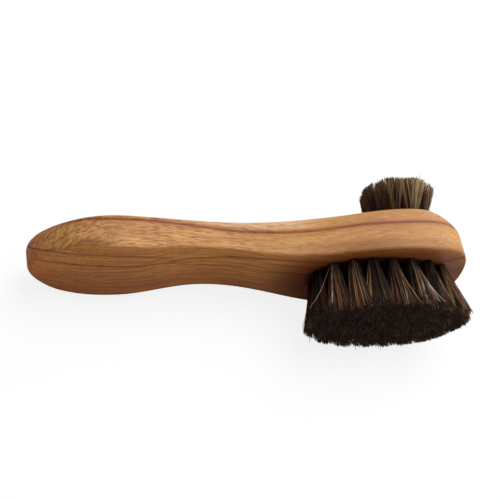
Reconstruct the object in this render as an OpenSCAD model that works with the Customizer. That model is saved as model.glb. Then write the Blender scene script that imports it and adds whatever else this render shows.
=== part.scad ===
// Two-sided shoe shine brush: a one-piece wooden body with a large and a small patch of horsehair.
// Sizes are in millimetres. The parts are drawn with the large bristles pointing down and the
// handle's end at x = 0, and lay_on_side() then puts the brush down on the side of its head.

/* [Body length and plan] */
// Length of the wooden body
body_l = 185; // [170:1:200]
// Width of the handle's swelling
pommel_w = 34; // [31:0.5:38]
// Distance from the handle's end to its widest place
pommel_x = 28.5; // [24:0.5:34]
// Roundness of the handle's end, where 2 is an ellipse
pommel_bulge = 2; // [1.8:0.05:2.4]
// Width of the neck
neck_w = 25.2; // [23:0.2:29]
// Distance from the handle's end to the neck
neck_x = 85; // [78:1:92]
// Width of the head
head_w = 42.8; // [40.6:0.2:46]
// Distance from the handle's end to the widest place of the head
head_x = 155; // [150:1:158]
// Roundness of the head's front end
head_bulge = 2.44; // [2.3:0.02:2.7]

/* [Body side profile] */
// Height of the handle's end above the middle plane
end_up = 7.3; // [5.5:0.1:8]
// Depth of the handle's end below the middle plane
end_down = 6.3; // [5.5:0.1:8]
// Distance from the handle's end to its thickest place
grip_x = 38.5; // [34:0.5:44]
// Height of the handle above the middle plane
grip_up = 10.5; // [8.5:0.1:11.5]
// Depth of the handle below the middle plane
grip_down = 8; // [7:0.1:9.5]
// Distance from the handle's end to the thinnest place of the neck
waist_x = 69; // [64:1:76]
// Height of the neck above the middle plane
waist_up = 10.5; // [8.5:0.1:11.5]
// Depth of the neck below the middle plane
waist_down = 5.3; // [4.6:0.1:7]
// Distance from the handle's end to the start of the head
shoulder_x = 123; // [112:1:126]
// Height of the head's start above the middle plane
shoulder_up = 9.4; // [8:0.1:11]
// Depth of the head's start below the middle plane
shoulder_down = 11.5; // [10.5:0.1:12.5]
// Distance from the handle's end to the middle of the head
head_mid_x = 165; // [158:1:168]
// Height of the head above the middle plane
head_up = 11.6; // [10.8:0.1:13]
// Depth of the head below the middle plane
head_down = 11.4; // [10.8:0.1:13]
// Height of the front end above the middle plane
nose_up = 7.2; // [6:0.1:9]
// Depth of the front end below the middle plane
nose_down = 8.5; // [7.5:0.1:10]
// Radius of the rounding round the lower face
lower_round = 1.25; // [0.75:0.25:3]
// Radius of the rounding round the upper face
upper_round = 5; // [3.5:0.25:5.5]
// Radius of the arch across the faces of the handle
grip_arch_r = 70; // [60:2:140]
// Radius of the arch across the faces of the head
head_arch_r = 400; // [250:10:800]

/* [Large bristles] */
// Distance from the front end to the middle of the large patch
large_front = 39; // [37:0.5:42]
// Length of the outer ring of holes, centre to centre
large_ring_l = 56.4; // [55.4:0.2:57.4]
// Width of the outer ring of holes, centre to centre
large_ring_w = 25.6; // [25:0.2:26.4]
// Tufts in the outer ring
large_ring_count = 17; // [14:1:17]
// Distance between neighbouring holes of the core
large_core_pitch = 8.3; // [8:0.1:8.5]
// Distance between the two rows of the core
large_core_w = 8.4; // [8:0.1:8.6]
// Tufts in each row of the core
large_core_row = 4; // [2:1:4]
// Diameter of a large tuft's hole
large_hole_d = 4.2; // [3.9:0.1:4.8]
// Depth of a large tuft's hole below the lower face
large_hole_depth = 9; // [7:0.5:10]
// Length of the large bristles past the head's lower face
large_trim = 23.8; // [18:0.2:28]
// Length of the patch at the tips against its length at the roots
large_spread = 1.13; // [1.05:0.01:1.2]
// Strands in a large tuft
large_strands = 15; // [11:1:15]

/* [Small bristles] */
// Distance from the front end to the middle of the small patch
small_front = 25; // [23:0.5:28]
// Length of the ring of holes, centre to centre
small_ring_l = 20; // [19:0.5:22]
// Width of the ring of holes, centre to centre
small_ring_w = 17; // [16:0.5:19]
// Tufts in the ring
small_ring_count = 8; // [7:1:8]
// Distance between the core's holes
small_core_l = 7.4; // [7:0.2:8]
// Tufts in the core
small_core_count = 2; // [2:1:2]
// Diameter of a small tuft's hole
small_hole_d = 4; // [3.8:0.1:4.4]
// Depth of a small tuft's hole below the upper face
small_hole_depth = 7.5; // [6:0.5:9]
// Length of the small bristles past the head's upper face
small_trim = 19.9; // [14:0.2:24]
// Length of the patch at the tips against its length at the roots
small_spread = 1.15; // [1.05:0.01:1.25]
// Width of the patch at the tips against its width at the roots
small_flare = 1.28; // [1.1:0.02:1.4]
// How far the small bristles lean forward at their tips
small_lean = 2.5; // [0:0.25:3]
// Strands in a small tuft
small_strands = 9; // [7:1:10]

/* [Tufts and anchors] */
// Gap between a tuft's root and the wall of its hole
root_gap = 0.05; // [0.03:0.01:0.1]
// Width of a strand's side at its root
strand_root_w = 0.72; // [0.5:0.02:0.76]
// Width of a strand's side at its tip
strand_tip_w = 0.9; // [0.6:0.05:1]
// Thickness of the flat anchor wire
anchor_t = 0.5; // [0.4:0.05:0.7]
// Height of the flat anchor wire
anchor_h = 1.8; // [1.4:0.1:2.2]
// How far an anchor bites into the wood past the wall of the hole
anchor_bite = 0.7; // [0.5:0.05:0.9]
// Thickness of folded hair under an anchor
anchor_fold = 1.2; // [0.8:0.1:1.6]
// Gap between an anchor and what it is driven into
anchor_gap = 0.04; // [0.02:0.01:0.06]

/* [Hidden] */
// Points from one end of the outline to the other: at the handle's end, along the side, at the nose
end_points = 18;
side_points = 34;
// Steps of each rounding, and of the arch across a face
round_steps = 5;
arch_steps = 6;
// Steps in which the length of a ring of holes is measured
ring_steps = 180;
// Squareness of the rings of holes, where 2 is an ellipse
large_ring_bulge = 2.6;
small_ring_bulge = 2.3;
// Facets of a hole's circle
hole_facets = 48;
// Least half width of the drawn-in outline away from its ends
least_half = 0.01;
// Share of a hole's radius that the strands' roots fill
root_fill = 0.72;
// Sides of a strand
strand_sides = 3;
// Turn from one strand of a tuft to the next, and from one tuft's first strand to the next tuft's
strand_turn = 137.508;
tuft_turn = 53;
// How deep a strand's root is sunk into the tuft's root
strand_sink = 0.6;
// Least gap between the strands of two tufts, to each side
strand_gap = 0.05;
// Height of a strand's middle ring, and the share of its spread that it has reached there
bend_at = 0.5;
bend_share = 0.4;
// Cuts run this far past a surface
past = 3;

stations = [0, grip_x, waist_x, shoulder_x, head_mid_x, body_l];
heights_up = [end_up, grip_up, waist_up, shoulder_up, head_up, nose_up];
heights_down = [end_down, grip_down, waist_down, shoulder_down, head_down, nose_down];
large_x = body_l - large_front;
small_x = body_l - small_front;
large_reach = head_down + large_trim;
small_reach = head_up + small_trim;
large_floor = -head_down + large_hole_depth;
small_floor = head_up - small_hole_depth;

// A smooth step from 0 to 1 as t goes from 0 to 1, flat at both ends
function ease(t) = let (u = min(max(t, 0), 1)) u * u * (3 - 2 * u);

// The value at x of a line that eases from each station's value to the next one's
function eased(x, xs, values, i = 1) =
    i == len(xs) ? values[0]
    : (values[i] - values[i - 1]) * ease((x - xs[i - 1]) / (xs[i] - xs[i - 1]))
      + eased(x, xs, values, i + 1);

function upper_face(x) = eased(x, stations, heights_up);
function lower_face(x) = -eased(x, stations, heights_down);
function side_width(x) = eased(x, [pommel_x, neck_x, head_x], [pommel_w, neck_w, head_w]) / 2;
function arch_r(x) = 1 / eased(x, [neck_x, shoulder_x], [1 / grip_arch_r, 1 / head_arch_r]);

// How far a face's arch stands out at y, where the flat would end at half
function arch(x, y, half) = max(0, half * half - y * y) / (2 * arch_r(x));

// Sine and cosine bent towards a rounded square: the quarter of an oval of the given bulge
function bent(v, bulge) = sign(v) * pow(abs(v), 2 / bulge);

// The body's half width at x: an oval end, the eased sides, and an oval front end
function end_share(t, bulge) = pow(max(0, 1 - pow(t, bulge)), 1 / bulge);
function half_width(x) =
    x < pommel_x ? pommel_w / 2 * end_share((pommel_x - x) / pommel_x, pommel_bulge)
    : x > head_x ? head_w / 2 * end_share((x - head_x) / (body_l - head_x), head_bulge)
    : side_width(x);

// Half of the body's plan, from the handle's end to the front end, as [x, half width]
half_outline = concat(
    [for (i = [0 : end_points]) let (a = 90 * i / end_points)
        [pommel_x * (1 - bent(cos(a), pommel_bulge)), pommel_w / 2 * bent(sin(a), pommel_bulge)]],
    [for (i = [1 : side_points - 1]) let (x = pommel_x + (head_x - pommel_x) * i / side_points)
        [x, side_width(x)]],
    [for (i = [end_points : -1 : 0]) let (a = 90 * i / end_points)
        [head_x + (body_l - head_x) * bent(cos(a), head_bulge), head_w / 2 * bent(sin(a), head_bulge)]]);
last = len(half_outline) - 1;

// The half outline drawn in by a distance, square to itself; its ends stay on the middle line
function drawn_in(inset) = [for (i = [0 : last])
    i == 0 ? [inset, 0]
    : i == last ? [body_l - inset, 0]
    : let (run = half_outline[i + 1] - half_outline[i - 1], square = [run.y, -run.x] / norm(run))
      [half_outline[i].x + inset * square.x, max(half_outline[i].y + inset * square.y, least_half)]];

// A closed ring of points: one side of the drawn-in outline, and back along the other
function ring(inset, height) = let (half = drawn_in(inset)) concat(
    [for (p = half) [p.x, -p.y, height_of(p.x, height)]],
    [for (i = [last - 1 : -1 : 1]) [half[i].x, half[i].y, height_of(half[i].x, height)]]);

// A height is [face, rise]: face -1 is the lower face with the rise added, 1 the upper less the rise
function height_of(x, height) =
    height[0] < 0 ? lower_face(x) + height[1] : upper_face(x) - height[1];

// Radius and height of each ring of the roundings, from the lower face to the upper one
body_rings = concat(
    [for (i = [0 : round_steps]) let (a = 90 * i / round_steps)
        ring(lower_round * (1 - sin(a)), [-1, lower_round * (1 - cos(a))])],
    [for (i = [round_steps : -1 : 0]) let (a = 90 * i / round_steps)
        ring(upper_round * (1 - sin(a)), [1, upper_round * (1 - cos(a))])]);

// Points of a face between the two sides of its ring, row by row along the body
function face_points(inset, side) = let (half = drawn_in(inset))
    [for (i = [1 : last - 1], j = [1 : arch_steps - 1]) let (
        p = half[i],
        y = p.y * (2 * j / arch_steps - 1))
        [p.x, y, height_of(p.x, [side, 0]) + side * arch(p.x, y, p.y)]];

// Faces between neighbouring rings, two triangles to each pair of points
function skin_faces(rings, around) =
    [for (r = [0 : rings - 2], i = [0 : around - 1], first = [true, false]) let (
        a = r * around + i,
        b = r * around + (i + 1) % around)
        first ? [a, a + around, b] : [b, a + around, b + around]];

// The number of a face's point at outline point i and at step j across the face, where the face's
// ring starts at number start and its inner points at number base
function across(start, around, base, i, j) =
    j == 0 ? start + i
    : j == arch_steps ? start + around - i
    : base + (i - 1) * (arch_steps - 1) + j - 1;

// Faces across the first or the last ring: a fan at each end, and pairs of triangles between them
function cap_faces(start, around, base, up) = [for (f = concat(
    [for (j = [0 : arch_steps - 1]) [
        start,
        across(start, around, base, 1, j),
        across(start, around, base, 1, j + 1)]],
    [for (i = [1 : last - 2], j = [0 : arch_steps - 1]) [
        across(start, around, base, i, j),
        across(start, around, base, i + 1, j),
        across(start, around, base, i, j + 1)]],
    [for (i = [1 : last - 2], j = [0 : arch_steps - 1]) [
        across(start, around, base, i + 1, j),
        across(start, around, base, i + 1, j + 1),
        across(start, around, base, i, j + 1)]],
    [for (j = [0 : arch_steps - 1]) [
        start + last,
        across(start, around, base, last - 1, j + 1),
        across(start, around, base, last - 1, j)]]))
    up ? [f[0], f[2], f[1]] : f];

// Spots spaced evenly along an oval, as [x, y] from its middle
function oval_point(l, w, bulge, a) = [l / 2 * bent(cos(a), bulge), w / 2 * bent(sin(a), bulge)];
function oval_spots(l, w, bulge, count, phase) = let (
    line = [for (i = [0 : ring_steps]) oval_point(l, w, bulge, 360 * i / ring_steps)],
    runs = [for (i = 0, s = 0; i <= ring_steps;
        s = s + (i < ring_steps ? norm(line[i + 1] - line[i]) : 0), i = i + 1)
        [s, 360 * i / ring_steps]],
    whole = runs[ring_steps][0])
    [for (k = [0 : count - 1]) oval_point(l, w, bulge, lookup(whole * (k + phase) / count, runs))];

// The core: two rows side by side, and one more hole at each end, a pitch away from both rows
core_half = large_core_pitch * (large_core_row - 1) / 2;
core_end = core_half + sqrt(pow(large_core_pitch, 2) - pow(large_core_w / 2, 2));
large_core = concat(
    [for (k = [0 : large_core_row - 1], side = [-1, 1])
        [large_core_pitch * k - core_half, side * large_core_w / 2]],
    [[-core_end, 0], [core_end, 0]]);

large_spots = concat(
    oval_spots(large_ring_l, large_ring_w, large_ring_bulge, large_ring_count, 0), large_core);
small_spots = concat(
    oval_spots(small_ring_l, small_ring_w, small_ring_bulge, small_ring_count, 0.5),
    [for (k = [0 : small_core_count - 1]) [small_core_l * (k - (small_core_count - 1) / 2), 0]]);

function numbered(base, count) = [for (k = [1 : count]) str(base, k < 10 ? "0" : "", k)];
large_names = numbered("large_tuft_", len(large_spots));
small_names = numbered("small_tuft_", len(small_spots));

// Distance from a strand's middle line to its corners, from the width of its side
function corner_r(side_w) = side_w / (2 * sin(180 / strand_sides));

// How far a tuft's strands may reach out at their tips and stay clear of the next tuft's strands
function nearest(spots) =
    min([for (i = [1 : len(spots) - 1], j = [0 : i - 1]) norm(spots[i] - spots[j])]);
function reach_out(spots, spread) =
    (nearest(spots) / 2 - corner_r(strand_tip_w) - strand_gap) * spread;
large_fan = [large_spread, 1];
small_fan = [small_spread, small_flare];
large_out = reach_out(large_spots, large_fan);
small_out = reach_out(small_spots, small_fan);

// A strand: a ring of points at its root, at its bend and at its trimmed tip
function strand_points(root, tip, turn) =
    [for (step = [0, bend_at, 1], k = [0 : strand_sides - 1]) let (
        share = step == 0 ? 0 : step == 1 ? 1 : bend_share,
        r = corner_r(strand_root_w + (strand_tip_w - strand_root_w) * step),
        a = turn + 360 * k / strand_sides)
        [root.x + (tip.x - root.x) * share + r * cos(a),
         root.y + (tip.y - root.y) * share + r * sin(a),
         root.z + (tip.z - root.z) * step]];

// The strand's end faces, and its sides from ring to ring
strand_faces = let (n = strand_sides) concat(
    [for (k = [1 : n - 2]) [0, k, k + 1]],
    [for (k = [1 : n - 2]) [2 * n, 2 * n + k + 1, 2 * n + k]],
    [for (s = [0, n], k = [0 : n - 1]) [s + k, s + n + k, s + (k + 1) % n]],
    [for (s = [0, n], k = [0 : n - 1]) [s + (k + 1) % n, s + n + k, s + n + (k + 1) % n]]);

// Where the strands of a tuft stand: the first in the middle, the rest in a spiral out to radius 1
function spiral(count, turn) = [for (k = [0 : count - 1])
    sqrt(k / (count - 1)) * [cos(turn + strand_turn * k), sin(turn + strand_turn * k)]];

// Turns the upright drawing over for the lower face
module face_down() mirror([0, 0, 1]) children();

// One tuft standing up: its root in the hole, its slot round the anchor, and its strands.
// spot is the hole's place, tip the middle of its tips, floor the hole's bottom, face the wood's face.
module tuft(spot, tip, floor, face, reach, hole_d, out, count, index) {
    root_d = hole_d - 2 * root_gap;
    fill = root_fill * root_d / 2;
    difference() {
        union() {
            translate([spot.x, spot.y, floor + root_gap])
                cylinder(d = root_d, h = face - floor - root_gap, $fn = hole_facets);
            for (s = spiral(count, tuft_turn * index))
                polyhedron(strand_points(
                    [spot.x + fill * s.x, spot.y + fill * s.y, face - strand_sink],
                    [tip.x + out.x * s.x, tip.y + out.y * s.y, reach],
                    tuft_turn * index), strand_faces);
        }
        anchor_space(spot, floor, anchor_gap, hole_d);
    }
}

// The space of one anchor, grown by a gap on every side
module anchor_space(spot, floor, gap, hole_d)
    translate([spot.x, spot.y, floor + anchor_fold + anchor_h / 2])
        cube([anchor_t + 2 * gap, hole_d + 2 * anchor_bite + 2 * gap, anchor_h + 2 * gap], center = true);

// All holes of one face, drawn upright, with the pockets that the anchors bite
module holes(x, spots, floor, face, hole_d) for (s = spots) {
    translate([x + s.x, s.y, floor])
        cylinder(d = hole_d, h = face - floor + past, $fn = hole_facets);
    anchor_space([x + s.x, s.y], floor, anchor_gap, hole_d);
}

module body_blank() {
    around = 2 * last;
    rings = len(body_rings);
    lower = face_points(lower_round, -1);
    upper = face_points(upper_round, 1);
    polyhedron(concat([for (r = body_rings, p = r) p], lower, upper), concat(
        skin_faces(rings, around),
        cap_faces(0, around, rings * around, false),
        cap_faces((rings - 1) * around, around, rings * around + len(lower), true)));
}

module wooden_body() color("burlywood") difference() {
    body_blank();
    face_down() holes(large_x, large_spots, -large_floor, head_down, large_hole_d);
    holes(small_x, small_spots, small_floor, head_up, small_hole_d);
}

// Where the wood's lower and upper face stand at a hole
function lower_at(x, y) = arch(x, y, half_width(x) - lower_round) - lower_face(x);
function upper_at(x, y) = arch(x, y, half_width(x) - upper_round) + upper_face(x);

module large_tuft(k) {
    s = large_spots[k];
    x = large_x + s.x;
    tip = [large_x + s.x * large_fan.x, s.y * large_fan.y];
    color("dimgray") face_down() tuft([x, s.y], tip, -large_floor, lower_at(x, s.y), large_reach,
        large_hole_d, large_out, large_strands, k);
}

module small_tuft(k) {
    s = small_spots[k];
    x = small_x + s.x;
    tip = [small_x + small_lean + s.x * small_fan.x, s.y * small_fan.y];
    color("saddlebrown") tuft([x, s.y], tip, small_floor, upper_at(x, s.y), small_reach,
        small_hole_d, small_out, small_strands, k);
}

module anchors(x, spots, floor, hole_d)
    color("silver") for (s = spots) anchor_space([x + s.x, s.y], floor, 0, hole_d);

module large_anchors() face_down() anchors(large_x, large_spots, -large_floor, large_hole_d);
module small_anchors() anchors(small_x, small_spots, small_floor, small_hole_d);

// Lays the brush on the side of its head, with the origin under the middle of its outer box
module lay_on_side()
    translate([-body_l / 2, (large_reach - small_reach) / 2, head_w / 2]) rotate([-90, 0, 0]) children();

lay_on_side() wooden_body();
for (k = [0 : len(large_names) - 1])
    lay_on_side() large_tuft(k);
for (k = [0 : len(small_names) - 1])
    lay_on_side() small_tuft(k);
lay_on_side() large_anchors();
lay_on_side() small_anchors();
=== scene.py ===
"""Two-sided shoe brush: a beech body with a large and a small patch of horsehair.

Lengths in the classes are millimetres of the maker's drawing, in which x runs from the handle's end
to the nose, y across the body, and z from the large bristles to the small ones. lay() turns them
into metres of the frame in which the brush lies on the side of its head. Only the studio's floor and
lamps are given in metres of that frame.
"""
import logging
import math
from dataclasses import dataclass
from enum import Enum
from typing import NamedTuple

import bpy
import numpy as np
from mathutils import Matrix, Vector


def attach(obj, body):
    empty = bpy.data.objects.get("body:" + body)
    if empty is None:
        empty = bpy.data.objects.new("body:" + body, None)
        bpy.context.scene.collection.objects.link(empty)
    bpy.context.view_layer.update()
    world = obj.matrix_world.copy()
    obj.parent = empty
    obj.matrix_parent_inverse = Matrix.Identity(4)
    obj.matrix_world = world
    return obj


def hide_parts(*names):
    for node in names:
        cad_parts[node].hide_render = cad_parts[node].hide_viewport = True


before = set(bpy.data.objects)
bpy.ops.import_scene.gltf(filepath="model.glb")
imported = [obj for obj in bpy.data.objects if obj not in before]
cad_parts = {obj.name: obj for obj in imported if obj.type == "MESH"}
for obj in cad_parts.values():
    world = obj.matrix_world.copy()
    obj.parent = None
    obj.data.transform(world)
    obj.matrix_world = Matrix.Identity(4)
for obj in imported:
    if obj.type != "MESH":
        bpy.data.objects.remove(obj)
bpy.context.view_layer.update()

LOG = logging.getLogger("shoe_brush")
BODY_LENGTH = 185.0
LARGE_REACH = 35.2
SMALL_REACH = 31.5
HEAD_WIDTH = 42.8
PER_METRE = 1000.0
GOLDEN_ANGLE = math.radians(137.508)
TINY = 1e-6
OVAL_CHORDS = 180
LEAST_HALF = 0.01
PHOTO_PX = 500
WHITE = (1.0, 1.0, 1.0)


class Face(Enum):
    """The face of the head that a patch of bristles stands on, as the sign of its direction."""

    LOWER = -1
    UPPER = 1

    def outward(self, corners: np.ndarray) -> np.ndarray:
        """Corners on the last axis, in the order that points outwards: reversed on the lower face."""
        return corners[..., ::-1] if self is Face.LOWER else corners


def lay(points: np.ndarray) -> np.ndarray:
    """Lays drawing points down in the frame.

    A point (x, y, z) in millimetres goes to (x - half the length, z + half the difference of the two
    reaches, half the head's width - y) in metres.

    Args:
        points: Array whose last axis holds x, y and z.

    Returns:
        Array of the same shape in metres.
    """
    x, y, z = np.moveaxis(np.asarray(points, dtype=float), -1, 0)
    laid = np.stack([x - BODY_LENGTH / 2, z + (LARGE_REACH - SMALL_REACH) / 2, HEAD_WIDTH / 2 - y], -1)
    return laid / PER_METRE


def ease(t: np.ndarray) -> np.ndarray:
    """A smooth step, t squared times (3 - 2t), with t held between 0 and 1."""
    held = np.clip(t, 0.0, 1.0)
    return held * held * (3.0 - 2.0 * held)


def eased(x: np.ndarray, stations: tuple, values: tuple) -> np.ndarray:
    """The first value plus, for each pair of stations, their difference times the smooth step.

    Args:
        x: Places along the body.
        stations: Places of the values.
        values: A value for each station.

    Returns:
        The value at each place.
    """
    x = np.asarray(x, dtype=float)
    total = np.full(x.shape, float(values[0]))
    for start, end, low, high in zip(stations, stations[1:], values, values[1:]):
        total += (high - low) * ease((x - start) / (end - start))
    return total


def bent(v: np.ndarray, bulge: float) -> np.ndarray:
    """Sign of v times the size of v to the power 2 / bulge: the quarter of a squared oval."""
    return np.sign(v) * np.abs(v) ** (2.0 / bulge)


def oval_at(angle: np.ndarray, length: float, width: float, bulge: float) -> np.ndarray:
    """Points of a squared oval: half the length times cos and half the width times sin, both bent."""
    x, y = bent(np.cos(angle), bulge), bent(np.sin(angle), bulge)
    return np.stack([length / 2 * x, width / 2 * y], 1)


def oval_spots(length: float, width: float, bulge: float, count: int, phase: float) -> np.ndarray:
    """Spots at even distances along a squared oval.

    The oval is measured in short chords, and the spots stand at the angles whose run along it is
    (k + phase) / count of the whole.

    Args:
        length: Length of the oval.
        width: Width of the oval.
        bulge: Squareness, where 2 is an ellipse.
        count: Number of spots.
        phase: Place of the first spot, in steps.

    Returns:
        Array of count rows of x and y.
    """
    angle = np.linspace(0.0, 2.0 * np.pi, OVAL_CHORDS + 1)
    chords = np.diff(oval_at(angle, length, width, bulge), axis=0)
    run = np.concatenate([[0.0], np.cumsum(np.hypot(*chords.T))])
    stops = (np.arange(count) + phase) / count * run[-1]
    return oval_at(np.interp(stops, run, angle), length, width, bulge)


def core_spots(pitch: float, width: float, row: int) -> np.ndarray:
    """Two rows of spots side by side, and one more at each end, a pitch away from both rows.

    Args:
        pitch: Distance from spot to spot in a row.
        width: Distance between the rows.
        row: Number of spots in a row.

    Returns:
        Array of 2 row + 2 rows of x and y.
    """
    x = pitch * (np.repeat(np.arange(row), 2) - (row - 1) / 2)
    end = pitch * (row - 1) / 2 + math.sqrt(pitch ** 2 - (width / 2) ** 2)
    rows = np.stack([x, np.tile([-width / 2, width / 2], row)], 1)
    return np.concatenate([rows, [[-end, 0.0], [end, 0.0]]])


def walls(number: np.ndarray) -> np.ndarray:
    """Four-sided faces between each closed ring of points and the next one.

    Args:
        number: Point numbers, with the rings on the last axis but one and their points on the last.

    Returns:
        Array of one ring less, with each face's four corners on a new last axis.
    """
    turned = np.roll(number, -1, axis=-1)
    corners = number[..., :-1, :], turned[..., :-1, :], turned[..., 1:, :], number[..., 1:, :]
    return np.stack(corners, -1)


def surface(name: str, points: np.ndarray, *faces: np.ndarray) -> bpy.types.Mesh:
    """Puts points and faces into a new mesh.

    Args:
        name: Name of the mesh.
        points: Array of drawing points, any shape ending in 3.
        *faces: Arrays of point numbers, one row for each face.

    Returns:
        The mesh, laid down in the frame.
    """
    mesh = bpy.data.meshes.new(name)
    flat = lay(points).reshape(-1, 3)
    sizes = np.concatenate([np.full(len(rows), rows.shape[1]) for rows in faces])
    corners = np.concatenate([rows.ravel() for rows in faces])
    mesh.vertices.add(len(flat))
    mesh.vertices.foreach_set("co", flat.ravel())
    mesh.loops.add(len(corners))
    mesh.loops.foreach_set("vertex_index", corners.astype(np.int32))
    mesh.polygons.add(len(sizes))
    mesh.polygons.foreach_set("loop_start", np.concatenate([[0], np.cumsum(sizes)[:-1]]).astype(np.int32))
    mesh.update(calc_edges=True)
    mesh.validate()
    return mesh


def shown(name: str, data: bpy.types.ID) -> bpy.types.Object:
    """Links a mesh, lamp or camera to the scene as an object at the origin.

    Args:
        name: Name of the object.
        data: The mesh, lamp or camera.

    Returns:
        The object.
    """
    piece = bpy.data.objects.new(name, data)
    bpy.context.scene.collection.objects.link(piece)
    return piece


class Shade:
    """A socket of a node tree. Arithmetic with it adds Math nodes."""

    def __init__(self, nodes: "Nodes", socket: bpy.types.NodeSocket) -> None:
        """Keeps the tree's nodes and the socket."""
        self.nodes = nodes
        self.socket = socket

    def math(self, operation: str, *others: "Shade | float") -> "Shade":
        """Adds a Math node of that operation, with this socket first."""
        values = dict(enumerate((self, *others)))
        return self.nodes.add("ShaderNodeMath", {"operation": operation}, values)

    def __add__(self, other: "Shade | float") -> "Shade":
        """Sum."""
        return self.math("ADD", other)

    __radd__ = __add__

    def __sub__(self, other: "Shade | float") -> "Shade":
        """Difference."""
        return self.math("SUBTRACT", other)

    def __rsub__(self, other: float) -> "Shade":
        """A number less this socket."""
        return self.nodes.add("ShaderNodeMath", {"operation": "SUBTRACT"}, {0: other, 1: self})

    def __neg__(self) -> "Shade":
        """This socket with its sign turned."""
        return 0.0 - self

    def __mul__(self, other: "Shade | float") -> "Shade":
        """Product."""
        return self.math("MULTIPLY", other)

    __rmul__ = __mul__

    def __truediv__(self, other: "Shade | float") -> "Shade":
        """Quotient."""
        return self.math("DIVIDE", other)

    def __rtruediv__(self, other: float) -> "Shade":
        """A number divided by this socket."""
        return self.nodes.add("ShaderNodeMath", {"operation": "DIVIDE"}, {0: other, 1: self})

    def __pow__(self, other: float) -> "Shade":
        """Power."""
        return self.math("POWER", other)

    def __abs__(self) -> "Shade":
        """Size without the sign."""
        return self.math("ABSOLUTE")

    def most(self, other: "Shade") -> "Shade":
        """The greater of the two."""
        return self.math("MAXIMUM", other)

    def step(self, start: float, end: float) -> "Shade":
        """A smooth step from 0 at start to 1 at end."""
        settings = {"interpolation_type": "SMOOTHSTEP"}
        return self.nodes.add("ShaderNodeMapRange", settings, {0: self, 1: start, 2: end, 3: 0.0, 4: 1.0})


class Nodes:
    """A node tree, to which a node is added with its settings and inputs in one call."""

    def __init__(self, tree: bpy.types.NodeTree) -> None:
        """Keeps the tree."""
        self.tree = tree

    def add(self, kind: str, settings: dict, values: dict, output: "int | str" = 0) -> Shade:
        """Adds a node.

        Args:
            kind: Type of the node.
            settings: Its settings, set first; stops is the list of a ramp's places and colours.
            values: Values or sockets by the input's name or number.
            output: Name or number of the wanted output.

        Returns:
            The output.
        """
        node = self.tree.nodes.new(kind)
        for key, value in settings.items():
            if key == "stops":
                self.set_stops(node.color_ramp, value)
            else:
                setattr(node, key, value)
        for key, value in values.items():
            if isinstance(value, Shade):
                self.link(value, node.inputs[key])
            else:
                node.inputs[key].default_value = value
        return Shade(self, node.outputs[output])

    def link(self, value: Shade, socket: bpy.types.NodeSocket) -> None:
        """Links a value to an input."""
        self.tree.links.new(value.socket, socket)

    @staticmethod
    def set_stops(ramp: bpy.types.ColorRamp, stops: list) -> None:
        """Gives a ramp its places and colours.

        Args:
            ramp: A node's ramp.
            stops: Pairs of a place and a colour, from 0 to 1.
        """
        while len(ramp.elements) < len(stops):
            ramp.elements.new(1.0)
        for element, (place, colour) in zip(ramp.elements, stops):
            element.position = place
            element.color = (*colour, 1.0)


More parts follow.
